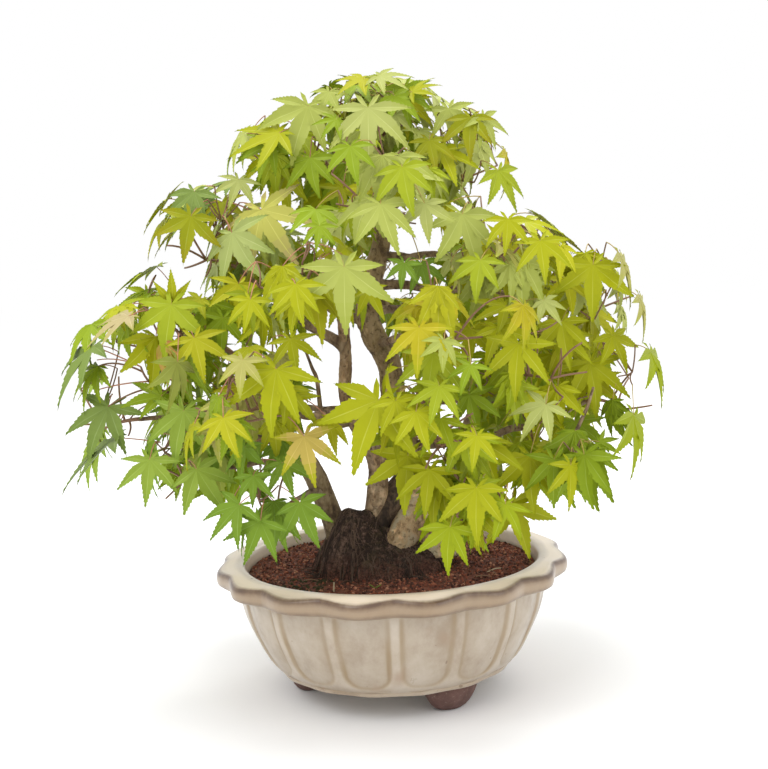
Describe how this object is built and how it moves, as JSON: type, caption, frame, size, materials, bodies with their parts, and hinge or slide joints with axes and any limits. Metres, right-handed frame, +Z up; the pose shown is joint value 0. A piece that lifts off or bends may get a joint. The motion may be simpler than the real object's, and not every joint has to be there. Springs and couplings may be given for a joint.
{
  "type": "bonsai japanese maple in a pot",
  "caption": "Small bonsai Japanese maple, a clump of slender stems with a domed crown of lobed leaves, in a round lobed and ribbed glazed pot on clay feet.",
  "frame": {"origin": "on the ground under the middle of the whole plant's bounding box", "axes": "+Z up; -Y towards the plant's front, where the clay foot shows; +X to the right seen from the front"},
  "size_m": [0.343, 0.2556, 0.346],
  "materials": {
    "glaze": "satin cream-beige glaze, brown where it thins on the rim's edge",
    "clay": "bare red-brown clay, matt",
    "soil": "crumbly reddish-brown bonsai soil, matt",
    "moss": "dark mossy roots and earth, matt",
    "bark": "grey-brown bark, matt",
    "bough_bark": "thin brown bark, matt",
    "foliage": "yellow-green leaves with a soft sheen"
  },
  "bodies": {
    "root": {"pot": "glaze", "foot_front": "clay", "foot_back": "clay", "foot_left": "clay", "soil": "soil", "root_mound": "moss", "stem_left": "bark", "stem_middle": "bark", "stem_right": "bark", "stem_side": "bark", "bough_top_left": "bough_bark", "bough_top_right": "bough_bark", "bough_fork_left": "bough_bark", "bough_upper_right": "bough_bark", "bough_right_top": "bough_bark", "bough_centre_right": "bough_bark", "bough_right_outer": "bough_bark", "bough_right_low": "bough_bark", "bough_low_right": "bough_bark", "bough_centre_low": "bough_bark", "bough_mid_low": "bough_bark", "bough_far_left": "bough_bark", "bough_lower_left": "bough_bark", "bough_low_left": "bough_bark", "bough_back_left_high": "bough_bark", "bough_back_left_low": "bough_bark", "bough_back_right_high": "bough_bark", "bough_back_right_low": "bough_bark", "leaves_apex": "foliage", "leaves_top_left": "foliage", "leaves_top_right": "foliage", "leaves_top_front": "foliage", "leaves_top_back": "foliage", "leaves_upper_left": "foliage", "leaves_upper_right": "foliage", "leaves_right_top": "foliage", "leaves_upper_front": "foliage", "leaves_centre_right": "foliage", "leaves_left_mid": "foliage", "leaves_left_front": "foliage", "leaves_far_left": "foliage", "leaves_lower_left": "foliage", "leaves_low_left": "foliage", "leaves_centre_low": "foliage", "leaves_right_mid": "foliage", "leaves_right_outer": "foliage", "leaves_right_low": "foliage", "leaves_low_right": "foliage", "leaves_back_left_high": "foliage", "leaves_back_left_low": "foliage", "leaves_back_mid": "foliage", "leaves_back_right_high": "foliage", "leaves_back_right_low": "foliage"}
  },
  "joints": []
}
